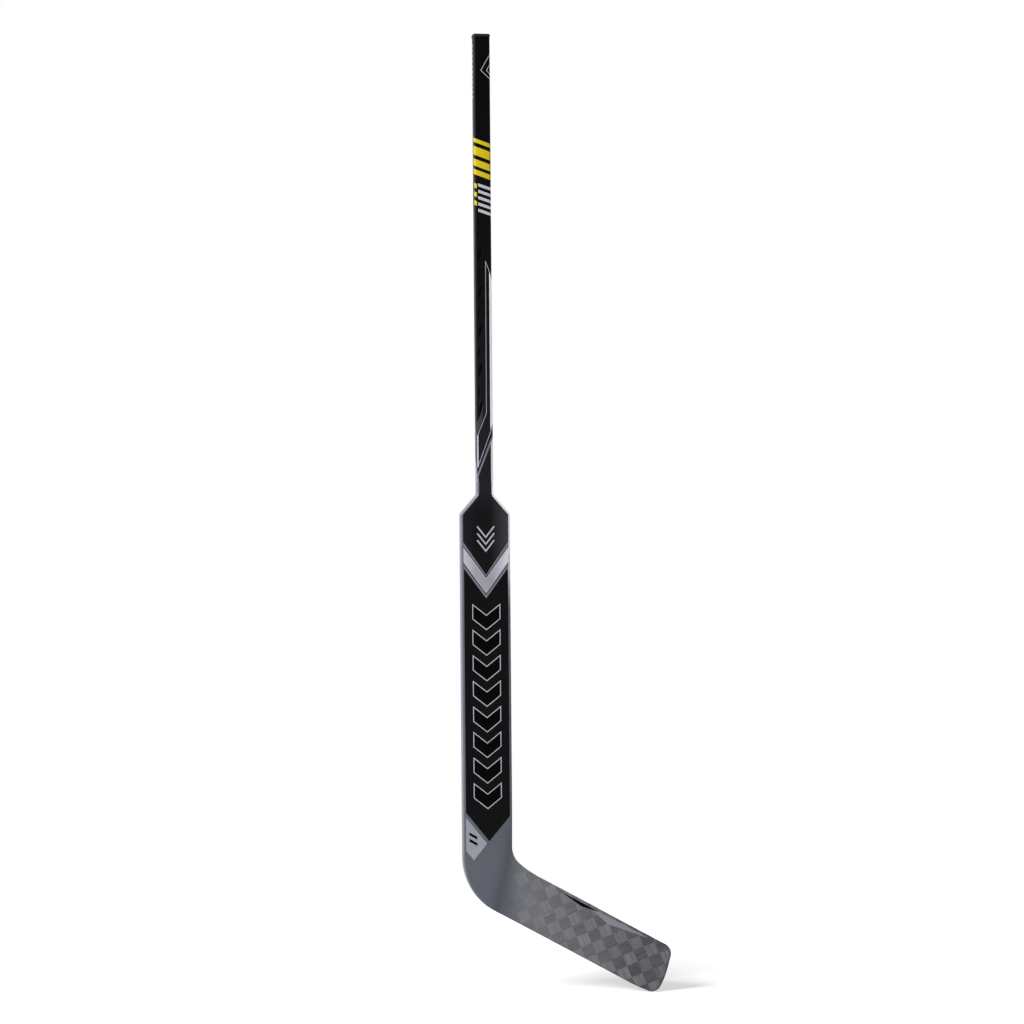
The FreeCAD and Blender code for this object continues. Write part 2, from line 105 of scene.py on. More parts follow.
def begin(name, hex_colour, **sockets):
    """A material with its principled shader, whose constant values sit on the shader's own sockets."""
    material = bpy.data.materials.new(name)
    material.use_nodes = True
    material.diffuse_color = linear(hex_colour)
    shader = material.node_tree.nodes["Principled BSDF"]
    shader.inputs["Base Color"].default_value = linear(hex_colour)
    for socket, value in sockets.items():
        shader.inputs[socket.replace("_", " ")].default_value = value
    return material, material.node_tree, shader


print("helpers ready; mid grey", [round(c, 3) for c in linear("#808080")[:3]])

# %% [markdown]
# ## The camera
# The photograph was taken from far off with a long lens, with the stick upright and turned about ten
# degrees, so that a little of its heel side shows. These values were fitted to the stick's outline: the
# distance is a guess, as a nearly parallel view hides it, and the lens then follows from the stick's size
# in the frame.

# %% Camera
VIEW_TURN = math.radians(10.0)
VIEW_ROLL = math.radians(-0.465)
VIEW_DISTANCE = 5.0
VIEW_TARGET = Vector((0.0487, 0, -0.0534))
PHOTO_PIXELS = 1024
LENS_PIXELS = 2861
SENSOR_WIDTH = 36

camera_data = bpy.data.cameras.new("camera")
camera_data.sensor_width = SENSOR_WIDTH
camera_data.lens = SENSOR_WIDTH * LENS_PIXELS / PHOTO_PIXELS
camera = bpy.data.objects.new("camera", camera_data)
bpy.context.scene.collection.objects.link(camera)
forward = Vector((math.sin(VIEW_TURN), math.cos(VIEW_TURN), 0))
camera.matrix_world = (
    Matrix.Translation(VIEW_TARGET - forward * VIEW_DISTANCE)
    @ Matrix.Rotation(-VIEW_TURN, 4, "Z")
    @ Matrix.Rotation(math.pi / 2, 4, "X")
    @ Matrix.Rotation(VIEW_ROLL, 4, "Z")
)
bpy.context.scene.camera = camera
bpy.context.scene.view_settings.view_transform = "Standard"
print("lens", round(camera_data.lens, 1), "mm at", [round(v, 3) for v in camera.location])

# %% [markdown]
# ## Silver-grey lacquer
# The paddle and the heel are sprayed with a silver-grey two-pack lacquer that holds fine aluminium flake.
# To the eye it is a soft mid grey with a speckle in it, slightly mottled where the passes of the spray
# gun overlap. A painted highlight, near white, lies on the toe shoulder and thins out down that edge. A
# plain grey would look like bare plastic, so two noises, one at the flake's size and one at the mottle's,
# vary the colour, and a mask that follows the stick's own directions lays the painted highlight.

# %% Sprayed lacquer
FLAKE = 1.6 * MM  # real flake is 0.05 mm; drawn this coarse so that it shows at all
MOTTLE = 60 * MM
SHOULDER_HIGHLIGHT_TOP = -110 * MM
SHOULDER_HIGHLIGHT_FOOT = -230 * MM
SHOULDER_HIGHLIGHT_INNER = 4 * MM
SHOULDER_HIGHLIGHT_OUTER = 10 * MM


def sprayed_lacquer(tree, place, spot):
    """The colour of the lacquer: speckle, mottle and a painted highlight on the toe shoulder."""
    flake = add(tree, "TexNoise", {"Vector": place, "Scale": 1 / FLAKE, "Detail": 2.0})
    mottle = add(tree, "TexNoise", {"Vector": place, "Scale": 1 / MOTTLE, "Detail": 3.0})
    speckle = add(tree, "ValToRGB", {"Fac": flake}, [(0.3, "#4F535C"), (0.7, "#60646E")])
    cloud = add(tree, "ValToRGB", {"Fac": mottle}, [(0.3, "#535760"), (0.7, "#5E626C")])
    paint = add(tree, "Mix", {"Factor": 0.5, "A": speckle, "B": cloud}, data_type="RGBA")
    # Painted highlight: near white on the toe half of the paddle, strongest at the shoulder
    toe_half = add(tree, "MapRange", {
        "Value": spot.outputs["X"], "From Min": SHOULDER_HIGHLIGHT_INNER, "From Max": SHOULDER_HIGHLIGHT_OUTER,
    })
    shoulder = add(tree, "MapRange", {
        "Value": spot.outputs["Z"], "From Min": SHOULDER_HIGHLIGHT_FOOT, "From Max": SHOULDER_HIGHLIGHT_TOP,
    }, interpolation_type="SMOOTHSTEP")
    shoulder_highlight = add(tree, "Math", {0: toe_half, 1: shoulder}, operation="MULTIPLY")
    # The near-white colour of the painted highlight
    return add(tree, "Mix", {"Factor": shoulder_highlight, "A": paint, "B": linear("#E6E6EB")}, data_type="RGBA")


print("lacquer: mist from", round(SHOULDER_HIGHLIGHT_TOP / MM), "down to", round(SHOULDER_HIGHLIGHT_FOOT / MM), "mm")

# %% [markdown]
# ## Spread-tow weave
# Under the lacquer lies carbon in flat tapes, 20 mm wide, plain-woven on the bias. The two sets of tapes
# lie across each other and send back different amounts of light, which gives the eye a checkerboard of
# dark and pale squares, each finely streaked along its tape. A photograph of cloth could be mapped on,
# but it would stretch round the edges and repeat, so the weave is worked out from the place itself, in
# units of one tape.

# %% Woven tapes
TAPE = 20.3 * MM
TAPE_TURN = math.radians(22)
TAPE_START = (0.57, 0.5, 0.27)  # in tapes, so that the squares lie as on the real blade
WAVER = 0.1
STREAKS_ACROSS = 11  # a tape has thousands of fibres; drawn this coarse so that they show
STREAKS_ALONG = 0.45


def tape_weave(tree, place):
    """The colour of the weave, and the streaks of its fibres."""
    grid = add(tree, "Mapping", {
        "Vector": place,
        "Location": TAPE_START,
        "Rotation": (0, TAPE_TURN, 0),
        "Scale": (1 / TAPE, 0, 1 / TAPE),
    })
    waver = add(tree, "TexNoise", {"Vector": grid, "Scale": 0.9, "Detail": 1.0}).outputs["Color"]
    tapes = add(tree, "VectorMath", {0: waver, 1: (WAVER, 0, WAVER), 2: grid}, operation="MULTIPLY_ADD")
    checks = add(tree, "TexChecker", {"Vector": tapes, "Scale": 1.0}).outputs["Fac"]
    cell = add(tree, "VectorMath", {0: tapes}, operation="FLOOR")
    number = add(tree, "SeparateXYZ", {"Vector": cell})

    # Every tape has its own tone along its whole length, and every crossing a little more
    lying = add(tree, "TexWhiteNoise", {"W": number.outputs["Z"]}, noise_dimensions="1D")
    rising = add(tree, "TexWhiteNoise", {"W": number.outputs["X"]}, noise_dimensions="1D")
    crossing = add(tree, "TexWhiteNoise", {"Vector": cell})
    top_tape = add(tree, "Mix", {"Factor": checks, "A": lying, "B": rising}, data_type="FLOAT")
    chance = add(tree, "Mix", {"Factor": 0.55, "A": top_tape, "B": crossing}, data_type="FLOAT")
    tone = add(tree, "MapRange", {
        "Value": chance, "From Min": 0.15, "From Max": 0.85, "To Min": 0.83, "To Max": 1.15,
    })

    # A tape dips under its neighbours at the borders of each square, so a thin line there is darker
    inside = add(tree, "VectorMath", {0: tapes}, operation="FRACTION")
    centred = add(tree, "VectorMath", {0: inside, 1: (0.5, 0, 0.5)}, operation="SUBTRACT")
    outward = add(tree, "VectorMath", {0: centred}, operation="ABSOLUTE")
    way = add(tree, "SeparateXYZ", {"Vector": outward})
    border = add(tree, "Math", {0: way.outputs["X"], 1: way.outputs["Z"]}, operation="MAXIMUM")
    dip = add(tree, "MapRange", {
        "Value": border, "From Min": 0.43, "From Max": 0.5, "To Min": 1.0, "To Max": 0.84,
    })
    shade = add(tree, "Math", {0: tone, 1: dip}, operation="MULTIPLY")

    # Streaks run along the tape that is on top in each square, dark on lying tapes and pale on rising ones
    streaks = []
    colours = []
    for stretch, stops in (
        ((STREAKS_ALONG, 1, STREAKS_ACROSS), [(0.3, "#3D3D42"), (0.7, "#504F55")]),
        ((STREAKS_ACROSS, 1, STREAKS_ALONG), [(0.3, "#535256"), (0.7, "#6D6C70")]),
    ):
        lines = add(tree, "Mapping", {"Vector": tapes, "Scale": stretch})
        streak = add(tree, "TexNoise", {"Vector": lines, "Scale": 1.0, "Detail": 4.0, "Roughness": 0.7})
        streaks.append(streak)
        colours.append(add(tree, "ValToRGB", {"Fac": streak}, stops))
    fibre = add(tree, "Mix", {"Factor": checks, "A": streaks[0], "B": streaks[1]}, data_type="FLOAT")
    woven = add(tree, "Mix", {"Factor": checks, "A": colours[0], "B": colours[1]}, data_type="RGBA")
    weave = add(tree, "Mix", {
        "Factor": 1.0, "A": woven, "B": shade,
    }, data_type="RGBA", blend_type="MULTIPLY")
    return weave, fibre


print("weave: tapes", round(TAPE / MM, 1), "mm wide at", round(math.degrees(TAPE_TURN)), "degrees")

# %% [markdown]
# ## From lacquer to bare carbon
# Towards the blade the spray fades out and the weave shows through clear resin. Two separate materials
# would show a seam where the solids meet, so lacquer and weave share one material, mixed by the distance
# from the heel. Beyond the spray a light grey is mixed into the weave, strongest near the heel and gone
# towards the toe: a painted light falloff that leaves the blade darker towards the toe. The fibre streaks
# show through it. One resin-rich spot near the heel is warmer. To the eye the surface is satin rather than
# a mirror, and a little smoother where it is lacquered.

# %% Painted and bare carbon
FADE_START = 35 * MM
FADE_END = 67 * MM
FALLOFF_END = 260 * MM
DRIFT = 25 * MM
DRIFT_REACH = 10 * MM
WARM_SPOT = (102 * MM, -10 * MM, -751 * MM)
WARM_CORE = 4 * MM
WARM_RADIUS = 22 * MM


def moulded_carbon():
    """Lacquer on the paddle that turns into the weave on the blade, with a painted light falloff along it.
    """
    material, tree, shader = begin(
        "lacquered_spread_tow_carbon", "#585C66",
        Metallic=0.15, Specular_IOR_Level=0.2, Coat_Weight=0.1, Coat_Roughness=0.12,
    )
    place = add(tree, "TexCoord").outputs["Object"]
    spot = add(tree, "SeparateXYZ", {"Vector": place})
    lacquer = sprayed_lacquer(tree, place, spot)
    weave, fibre = tape_weave(tree, place)

    # The edge of the spray wanders, and beyond it a painted light falloff greys the weave less towards the
    # toe
    drift = add(tree, "TexNoise", {"Vector": place, "Scale": 1 / DRIFT, "Detail": 3.0})
    wander = add(tree, "MapRange", {"Value": drift, "To Min": -DRIFT_REACH, "To Max": DRIFT_REACH})
    edge = add(tree, "Math", {0: spot.outputs["X"], 1: wander}, operation="ADD")
    painted_falloff = add(tree, "MapRange", {
        "Value": edge, "From Min": FADE_START, "From Max": FALLOFF_END, "To Min": 0.6, "To Max": 0.0,
    })
    # Painted light falloff: a light grey mixed into the weave near the heel, less towards the toe
    falloff_weave = add(tree, "Mix", {"Factor": painted_falloff, "A": weave, "B": linear("#84858B")}, data_type="RGBA")
    crowns = add(tree, "MapRange", {
        "Value": fibre, "From Min": 0.3, "From Max": 0.7, "To Min": 0.86, "To Max": 1.14,
    })
    streaked = add(tree, "Mix", {
        "Factor": 1.0, "A": falloff_weave, "B": crowns,
    }, data_type="RGBA", blend_type="MULTIPLY")

    # The warm spot shows only where a streak is strong
    offset = add(tree, "VectorMath", {0: place, 1: WARM_SPOT}, operation="DISTANCE")
    warmth = add(tree, "MapRange", {
        "Value": offset, "From Min": WARM_CORE, "From Max": WARM_RADIUS, "To Min": 0.45, "To Max": 0.0,
    })
    resin = add(tree, "MapRange", {"Value": fibre, "From Min": 0.45, "From Max": 0.65})
    warm_streaks = add(tree, "Math", {0: warmth, 1: resin}, operation="MULTIPLY")
    carbon = add(tree, "Mix", {
        "Factor": warm_streaks, "A": streaked, "B": linear("#A08C66"),
    }, data_type="RGBA")

    # Lacquer is smoother than the resin over the weave, and the tapes leave a slight relief
    bare = add(tree, "MapRange", {
        "Value": edge, "From Min": FADE_START, "From Max": FADE_END,
    }, interpolation_type="SMOOTHSTEP")
    colour = add(tree, "Mix", {"Factor": bare, "A": lacquer, "B": carbon}, data_type="RGBA")
    rough = add(tree, "MapRange", {"Value": bare, "To Min": 0.38, "To Max": 0.46})
    relief = add(tree, "Math", {0: fibre, 1: bare}, operation="MULTIPLY")
    bump = add(tree, "Bump", {"Height": relief, "Strength": 0.12, "Distance": 0.2 * MM})
    connect(shader, {"Base Color": colour, "Roughness": rough, "Normal": bump})
    return material


carbon_finish = moulded_carbon()
print("carbon finish:", len(carbon_finish.node_tree.nodes), "nodes")

# %% [markdown]
# ## Black lacquer on the shaft
# The shaft wears a hard black lacquer, sprayed and polished, over the same laminate. To the eye its front
# is nearly black, deepest at the top and a little greyer towards the neck, and the lamps draw only a weak
# sheen on it. A black with full gloss would mirror the white room and turn grey, so its reflection is
# kept low. A faint grain runs along it, left by the fibres beneath. The heel side carries a painted sheen,
# a charcoal tone for the reflection of the heel-side lamp, parted from the front by a sharp line.

# %% Black shaft lacquer
SHAFT_TOP = cad_box[1].z
GRAIN = 0.9 * MM
GRAIN_STRETCH = 0.03
POLISH = 35 * MM
HEEL_SHEEN_START = -11.2 * MM
HEEL_SHEEN_END = -11.8 * MM


def black_lacquer():
    """Polished black lacquer with the fibres' grain just showing through."""
    material, tree, shader = begin("black_polished_lacquer", "#070708", IOR=1.33, Specular_IOR_Level=0.06)
    place = add(tree, "TexCoord").outputs["Object"]
    along = add(tree, "Mapping", {"Vector": place, "Scale": (1 / GRAIN, 1 / GRAIN, GRAIN_STRETCH / GRAIN)})
    grain = add(tree, "TexNoise", {"Vector": along, "Scale": 1.0, "Detail": 3.0})
    streak = add(tree, "ValToRGB", {"Fac": grain}, [(0.3, "#B4B4B4"), (0.7, "#FFFFFF")])
    spot = add(tree, "SeparateXYZ", {"Vector": place})
    height = add(tree, "MapRange", {"Value": spot.outputs["Z"], "From Min": 0.0, "From Max": SHAFT_TOP})
    depth = add(tree, "ValToRGB", {"Fac": height}, [
        (0.1, "#24252A"), (0.2, "#1C1D21"), (0.4, "#101012"), (0.9, "#060607"),
    ])
    front = add(tree, "Mix", {
        "Factor": 1.0, "A": depth, "B": streak,
    }, data_type="RGBA", blend_type="MULTIPLY")
    # Painted sheen: the heel side is drawn charcoal for the heel-side lamp's reflection, beyond a sharp line
    heel_painted_sheen = add(tree, "MapRange", {
        "Value": spot.outputs["X"], "From Min": HEEL_SHEEN_START, "From Max": HEEL_SHEEN_END,
    })
    colour = add(tree, "Mix", {"Factor": heel_painted_sheen, "A": front, "B": linear("#131218")}, data_type="RGBA")
    polish = add(tree, "TexNoise", {"Vector": place, "Scale": 1 / POLISH, "Detail": 2.0})
    rough = add(tree, "MapRange", {"Value": polish, "To Min": 0.28, "To Max": 0.38})
    bump = add(tree, "Bump", {"Height": grain, "Strength": 0.05, "Distance": 0.1 * MM})
    connect(shader, {"Base Color": colour, "Roughness": rough, "Normal": bump})
    return material


shaft_finish = black_lacquer()
print("shaft finish:", shaft_finish.name, "up to", round(SHAFT_TOP / MM), "mm")

# %% [markdown]
# ## Films and inks
# The dark panels, the chevron and the kite are cast vinyl films, laid on the paint, and the stripes are
# screen-printed ink. All are the same recipe: a tone that varies a little in patches, a faint pebbled
# grain, and a gloss that is softer than lacquer. One function makes them, with other values each time.
# Some films carry painted light or shade: a fade added to the tone along one of the stick's directions.

# %% Recipe for a film or an ink
PEBBLE = 1.4 * MM  # real vinyl is pebbled at 0.2 mm; drawn this coarse so that it shows
PATCH = 45 * MM
GLOSS_SPREAD = 0.05


def printed(name, low, high, roughness, metallic=0.0, coat=0.0, sheen=0.3, fades=()):
    """A film or an ink between two tones. Each fade paints light or shade: an axis, a start, an end,
    colours.
    """
    material, tree, shader = begin(
        name, low, Metallic=metallic, Coat_Weight=coat, Coat_Roughness=0.25, Specular_IOR_Level=sheen,
    )
    place = add(tree, "TexCoord").outputs["Object"]
    pebble = add(tree, "TexNoise", {"Vector": place, "Scale": 1 / PEBBLE, "Detail": 2.0})
    patch = add(tree, "TexNoise", {"Vector": place, "Scale": 1 / PATCH, "Detail": 3.0})
    both = add(tree, "Mix", {"Factor": 0.5, "A": pebble, "B": patch}, data_type="FLOAT")
    colour = add(tree, "ValToRGB", {"Fac": both}, [(0.35, low), (0.65, high)])
    spot = add(tree, "SeparateXYZ", {"Vector": place})
    # Each fade adds painted light or shade to the tone
    for axis, start, end, stops in fades:
        share = add(tree, "MapRange", {
            "Value": spot.outputs[axis], "From Min": start * MM, "From Max": end * MM,
        })
        lift = add(tree, "ValToRGB", {"Fac": share}, stops)
        colour = add(tree, "Mix", {
            "Factor": 1.0, "A": colour, "B": lift,
        }, data_type="RGBA", blend_type="ADD")
    rough = add(tree, "MapRange", {
        "Value": patch, "To Min": roughness - GLOSS_SPREAD, "To Max": roughness + GLOSS_SPREAD,
    })
    bump = add(tree, "Bump", {"Height": pebble, "Strength": 0.06, "Distance": 0.1 * MM})
    connect(shader, {"Base Color": colour, "Roughness": rough, "Normal": bump})
    return material


print("film recipe: pebbles of", round(PEBBLE / MM, 1), "mm, patches of", round(PATCH / MM), "mm")

# %% [markdown]
# ## Vinyl films
# The long panel is plain black vinyl with almost no mirror image, and the blade's dark flash and the
# fills of the prints are a still deeper black. The crest is the same black with a painted sheen, grey at
# its ends and its top. The chevron is silver flake vinyl with a painted highlight at its ends, so that it
# seems to bend round the paddle. The kite is a satin silver, and the pale flash on the blade a smoky grey.

# %% Vinyl
FADE_HALF = 42  # mm from the middle of the paddle to the end of a fade
CREST_SHEEN_FOOT = -55
# Painted sheen on the crest's ends and top, and painted highlights on the chevron's ends
CREST_SHEEN_ENDS = [(0.0, "#16171A"), (0.3, "#040405"), (0.6, "#060607"), (1.0, "#3A3B40")]
CREST_SHEEN_TOP = [(0.0, "#000000"), (0.8, "#15161A")]
CHEVRON_HIGHLIGHT_ENDS = [(0.0, "#7A7A7E"), (0.3, "#000000"), (0.62, "#000000"), (1.0, "#98989C")]

# Flat black: a soft grey bloom instead of a mirror image
black_vinyl = printed("black_cast_vinyl", "#060607", "#0A0A0C", roughness=0.34, sheen=0.06)
flash_vinyl = printed("deep_black_vinyl", "#030304", "#060607", roughness=0.40, sheen=0.02)
crest_vinyl = printed(
    "black_vinyl_with_painted_sheen", "#060607", "#0A0A0C", roughness=0.34, sheen=0.06,
    fades=[("X", -FADE_HALF, FADE_HALF, CREST_SHEEN_ENDS), ("Z", CREST_SHEEN_FOOT, 0, CREST_SHEEN_TOP)],
)
# Silver: the flake brightens towards the lamps, the ends carry a painted highlight, and the coat adds a soft
# gleam
silver_vinyl = printed(
    "silver_flake_vinyl", "#8D8C97", "#9D9CA6", roughness=0.34, metallic=0.25, coat=0.2,
    fades=[("X", -FADE_HALF, FADE_HALF, CHEVRON_HIGHLIGHT_ENDS)],
)
kite_vinyl = printed("satin_silver_vinyl", "#8F8F98", "#9B9BA4", roughness=0.40, metallic=0.25, coat=0.1)
smoke_vinyl = printed("smoke_grey_vinyl", "#76757F", "#807F8A", roughness=0.40, metallic=0.15, coat=0.1)
vinyls = [black_vinyl, flash_vinyl, crest_vinyl, silver_vinyl, kite_vinyl, smoke_vinyl]
print("films:", [vinyl.name for vinyl in vinyls])

# %% [markdown]
# ## Inks, edge lacquer and grip rubber
# Screen-printed ink lies flat and dries to a soft satin. The silver inks hold a little flake. The yellow
# is full on the front and darker round the heel-side corner, a painted shade for the dimmer light there.
# Where the paddle's lacquer runs up the shaft, it is sprayed round a mask and is as thin as ink. The grip
# bars are soft rubber that hardly reflects.

# %% Inks and rubber
# The yellow's painted shade on the heel side gives way to full yellow between these two places
YELLOW_SHADED = -13.4  # mm from the middle of the shaft
YELLOW_UNSHADED = -11.4

# Silver and slate: satin, a little brighter towards the lamps
silver_ink = printed("silver_screen_ink", "#A9A9B2", "#B9B9C1", roughness=0.40, metallic=0.2, coat=0.1)
# Pale silver: silver ink whose near-white tone is a painted highlight of the toe-side light
pale_silver_highlight_ink = printed("pale_silver_ink_with_painted_highlight", "#DADAE0", "#E4E4E9", roughness=0.40, metallic=0.1, coat=0.1)
slate_ink = printed("slate_screen_ink", "#696D78", "#737884", roughness=0.40, metallic=0.2, coat=0.1)
edge_lacquer = printed("silver_grey_lacquer", "#6C707A", "#777B86", roughness=0.36, metallic=0.2, sheen=0.12)
# Yellow: a flat colour, with a painted shade round the heel-side corner
yellow_ink = printed(
    "yellow_screen_ink", "#9A8810", "#A2901A", roughness=0.45, sheen=0.15,
    fades=[("X", YELLOW_SHADED, YELLOW_UNSHADED, [(0.0, "#000000"), (1.0, "#796906")])],
)
# Dark inks and rubber: matt, set off from the lacquer only by their lower gloss
dark_ink = printed("dark_screen_ink", "#1E1F23", "#26272B", roughness=0.45, sheen=0.1)
charcoal_ink = printed("charcoal_screen_ink", "#33353A", "#3C3E44", roughness=0.45, sheen=0.1)
grip_rubber = printed("black_grip_rubber", "#040405", "#070708", roughness=0.5, sheen=0.01)
inks = [silver_ink, pale_silver_highlight_ink, slate_ink, edge_lacquer, yellow_ink, dark_ink, charcoal_ink, grip_rubber]
print("inks:", [ink.name for ink in inks])

# %% [markdown]
# ## What nobody sees
# Inside the stick there is rigid foam, a wooden heel block, and carbon ribs, spigot and tenon. They are
# covered, but the part may be taken apart in another scene, so each still gets its own material. The foam
# is pale and matt and shows its closed cells, the poplar shows its growth rings, and the laminate its
# straight fibres.

# %% Inner materials
FOAM_CELL = 2 * MM  # real cells are 0.7 mm; drawn this coarse so that they show
RING_SPACING = 18.85 * MM  # fast-grown poplar has wide rings
RING_STRETCH = 0.08
WAVE_LENGTH = math.tau / 20  # of a wave texture at a scale of 1
TOW = 0.8 * MM  # width of a bundle of fibres
TOW_LENGTH = 83 * MM


def rigid_foam():
    """Closed-cell foam, cut with a hot wire: pale and matt."""
    material, tree, shader = begin("rigid_closed_cell_foam", "#D9D3C0", Roughness=0.9)
    place = add(tree, "TexCoord").outputs["Object"]
    cells = add(tree, "TexVoronoi", {"Vector": place, "Scale": 1 / FOAM_CELL})
    colour = add(tree, "ValToRGB", {"Fac": cells}, [(0.1, "#E2DCCB"), (0.8, "#C2BBA6")])
    bump = add(tree, "Bump", {"Height": cells, "Strength": 0.4, "Distance": 0.4 * MM})
    connect(shader, {"Base Color": colour, "Normal": bump})
    return material


def poplar():
    """Planed poplar with its grain upright: pale, with slow wavering rings."""
    material, tree, shader = begin("planed_poplar", "#C9AC7C", Roughness=0.6)
    place = add(tree, "TexCoord").outputs["Object"]
    upright = add(tree, "Mapping", {"Vector": place, "Scale": (1, 1, RING_STRETCH)})
    rings = add(tree, "TexWave", {
        "Vector": upright, "Scale": WAVE_LENGTH / RING_SPACING, "Distortion": 6.0, "Detail": 3.0,
    }, bands_direction="X").outputs["Fac"]
    colour = add(tree, "ValToRGB", {"Fac": rings}, [(0.2, "#D2B789"), (0.8, "#B8976A")])
    bump = add(tree, "Bump", {"Height": rings, "Strength": 0.1, "Distance": 0.1 * MM})
    connect(shader, {"Base Color": colour, "Normal": bump})
    return material


def straight_laminate():
    """Cured carbon with its fibres straight up and down, slightly glossy from the resin."""
    material, tree, shader = begin(
        "unidirectional_carbon_laminate", "#222326", Coat_Weight=0.3, Coat_Roughness=0.2,
    )
    place = add(tree, "TexCoord").outputs["Object"]
    lines = add(tree, "Mapping", {"Vector": place, "Scale": (1 / TOW, 1 / TOW, 1 / TOW_LENGTH)})
    fibre = add(tree, "TexNoise", {"Vector": lines, "Scale": 1.0, "Detail": 3.0})
    colour = add(tree, "ValToRGB", {"Fac": fibre}, [(0.3, "#1A1B1D"), (0.7, "#2E2F33")])
    rough = add(tree, "MapRange", {"Value": fibre, "To Min": 0.32, "To Max": 0.5})
    connect(shader, {"Base Color": colour, "Roughness": rough})
    return material


foam_finish = rigid_foam()
wood_finish = poplar()
laminate_finish = straight_laminate()
print("inner materials:", foam_finish.name, wood_finish.name, laminate_finish.name)

# %% [markdown]
# ## The end cap
# The cap in the butt is thermoplastic rubber from a spark-eroded mould. To the eye it is matt black with
# a fine, even grain, clearly duller than the lacquer next to it. Smooth cells give that grain better than
# noise, which has no even size.

# %% End cap
MOULD_GRAIN = 0.9 * MM  # real spark erosion leaves about 0.1 mm; drawn this coarse so that it shows


def moulded_cap():
    """Thermoplastic rubber with the grain of its mould."""
    material, tree, shader = begin("moulded_thermoplastic_rubber", "#0D0D0E", Specular_IOR_Level=0.15)
    place = add(tree, "TexCoord").outputs["Object"]
    grain = add(tree, "TexVoronoi", {"Vector": place, "Scale": 1 / MOULD_GRAIN}, feature="SMOOTH_F1")
    colour = add(tree, "ValToRGB", {"Fac": grain}, [(0.1, "#09090A"), (0.7, "#121213")])
    rough = add(tree, "MapRange", {"Value": grain, "To Min": 0.48, "To Max": 0.62})
    bump = add(tree, "Bump", {"Height": grain, "Strength": 0.25, "Distance": 0.15 * MM})
    connect(shader, {"Base Color": colour, "Roughness": rough, "Normal": bump})
    return material


cap_finish = moulded_cap()
print("cap finish:", cap_finish.name)

# %% [markdown]
# ## Finishes on the solids
# Every solid keeps its shape and takes one finish. The rails, skins and rim share the painted carbon, so
# that their seams vanish as they do under the real paint.

# %% Give each solid its finish
finishes = {
    carbon_finish: [
        "paddle_heel_rail", "paddle_toe_rail", "paddle_front_skin", "paddle_back_skin",
        "blade_rim", "blade_front_skin", "blade_back_skin",
    ],
    shaft_finish: ["shaft_tube"],
    cap_finish: ["butt_cap"],
    laminate_finish: ["neck_spigot", "paddle_heel_rib", "paddle_toe_rib", "heel_tenon", "blade_rib"],
    foam_finish: [
        "paddle_heel_core", "paddle_centre_core", "paddle_toe_core", "blade_upper_core", "blade_lower_core",
    ],
    wood_finish: ["heel_block"],
    black_vinyl: ["front_panel_decal", "back_panel_decal"],
    crest_vinyl: ["front_crest_decal", "back_crest_decal"],
    silver_vinyl: ["front_chevron_decal", "back_chevron_decal"],
    kite_vinyl: ["heel_kite_decal"],
    flash_vinyl: ["blade_dark_flash"],
    smoke_vinyl: ["blade_pale_flash"],
}
dressed = []
for finish, names in finishes.items():
    for name in names:
        nodes[name].data.materials.clear()
        nodes[name].data.materials.append(finish)
        dressed.append(name)
print("finished solids:", len(dressed), "bare:", sorted(set(nodes) - set(dressed)))

# %% [markdown]
# ## Surfaces for the films
# Stripes on a stick are printed flat and wrapped round it, so each film here is first drawn flat, in
# millimetres. A point's first number is then its distance round the shaft's section from the middle of
# the front, positive towards the toe, and its second number is its height above the neck. A function
# turns that into a place on the shaft. The paddle's faces are flat, so there the first number is just the
# distance from the middle.

# %% Round the shaft and across the paddle
shaft_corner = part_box("shaft_tube")[1]
HALF_WIDTH = round(shaft_corner.x / MM, 2)
HALF_DEPTH = round(shaft_corner.y / MM, 2)
ROUND = 3.6  # radius of the shaft's corners
FLAT = HALF_WIDTH - ROUND
QUARTER = ROUND * math.pi / 2
SIDE = 2 * (HALF_DEPTH - ROUND)
PAINT_FACE = HALF_DEPTH
VINYL_FACE = round(-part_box("front_panel_decal")[0].y / MM, 2)


def round_shaft(across, out, up):
    """A place on the shaft: along the front, round the corner, down the side and round to the back."""
    sign = math.copysign(1, across)
    run = abs(across)
    if run <= FLAT:
        return sign * run, -HALF_DEPTH - out, up
    run -= FLAT
    radius = ROUND + out
    if run <= QUARTER:
        turn = run / ROUND
        return sign * (FLAT + radius * math.sin(turn)), ROUND - HALF_DEPTH - radius * math.cos(turn), up
    run -= QUARTER
    if run <= SIDE:
        return sign * (HALF_WIDTH + out), ROUND - HALF_DEPTH + run, up
    run -= SIDE
    if run <= QUARTER:
        turn = run / ROUND
        return sign * (FLAT + radius * math.cos(turn)), HALF_DEPTH - ROUND + radius * math.sin(turn), up
    return sign * (FLAT - run + QUARTER), HALF_DEPTH + out, up


def paddle_face(turn, depth):
    """A flat face of the paddle at this depth: the front for a turn of 1, and the back for -1."""
    return lambda across, out, up: (turn * across, -turn * (depth + out), up)


print("shaft section", 2 * HALF_WIDTH, "by", 2 * HALF_DEPTH, "mm; vinyl stands at", VINYL_FACE, "mm")

# %% [markdown]
# ## Films that follow the surface
# Stripes could be painted in with masks, but a mask belongs to one material and has soft edges, so each
# stripe here is a real film, 0.08 mm thick. It is drawn as flat patches of points, cut into narrow strips
# where the surface bends, given its thickness, and laid on the surface.

# %% A film
FILM = 0.08
CUTS = 6
SHARP = math.radians(40)
BENDS = [
    side * (start + QUARTER * cut / CUTS)
    for side in (-1, 1)
    for start in (FLAT, FLAT + QUARTER + SIDE)
    for cut in range(CUTS + 1)
]


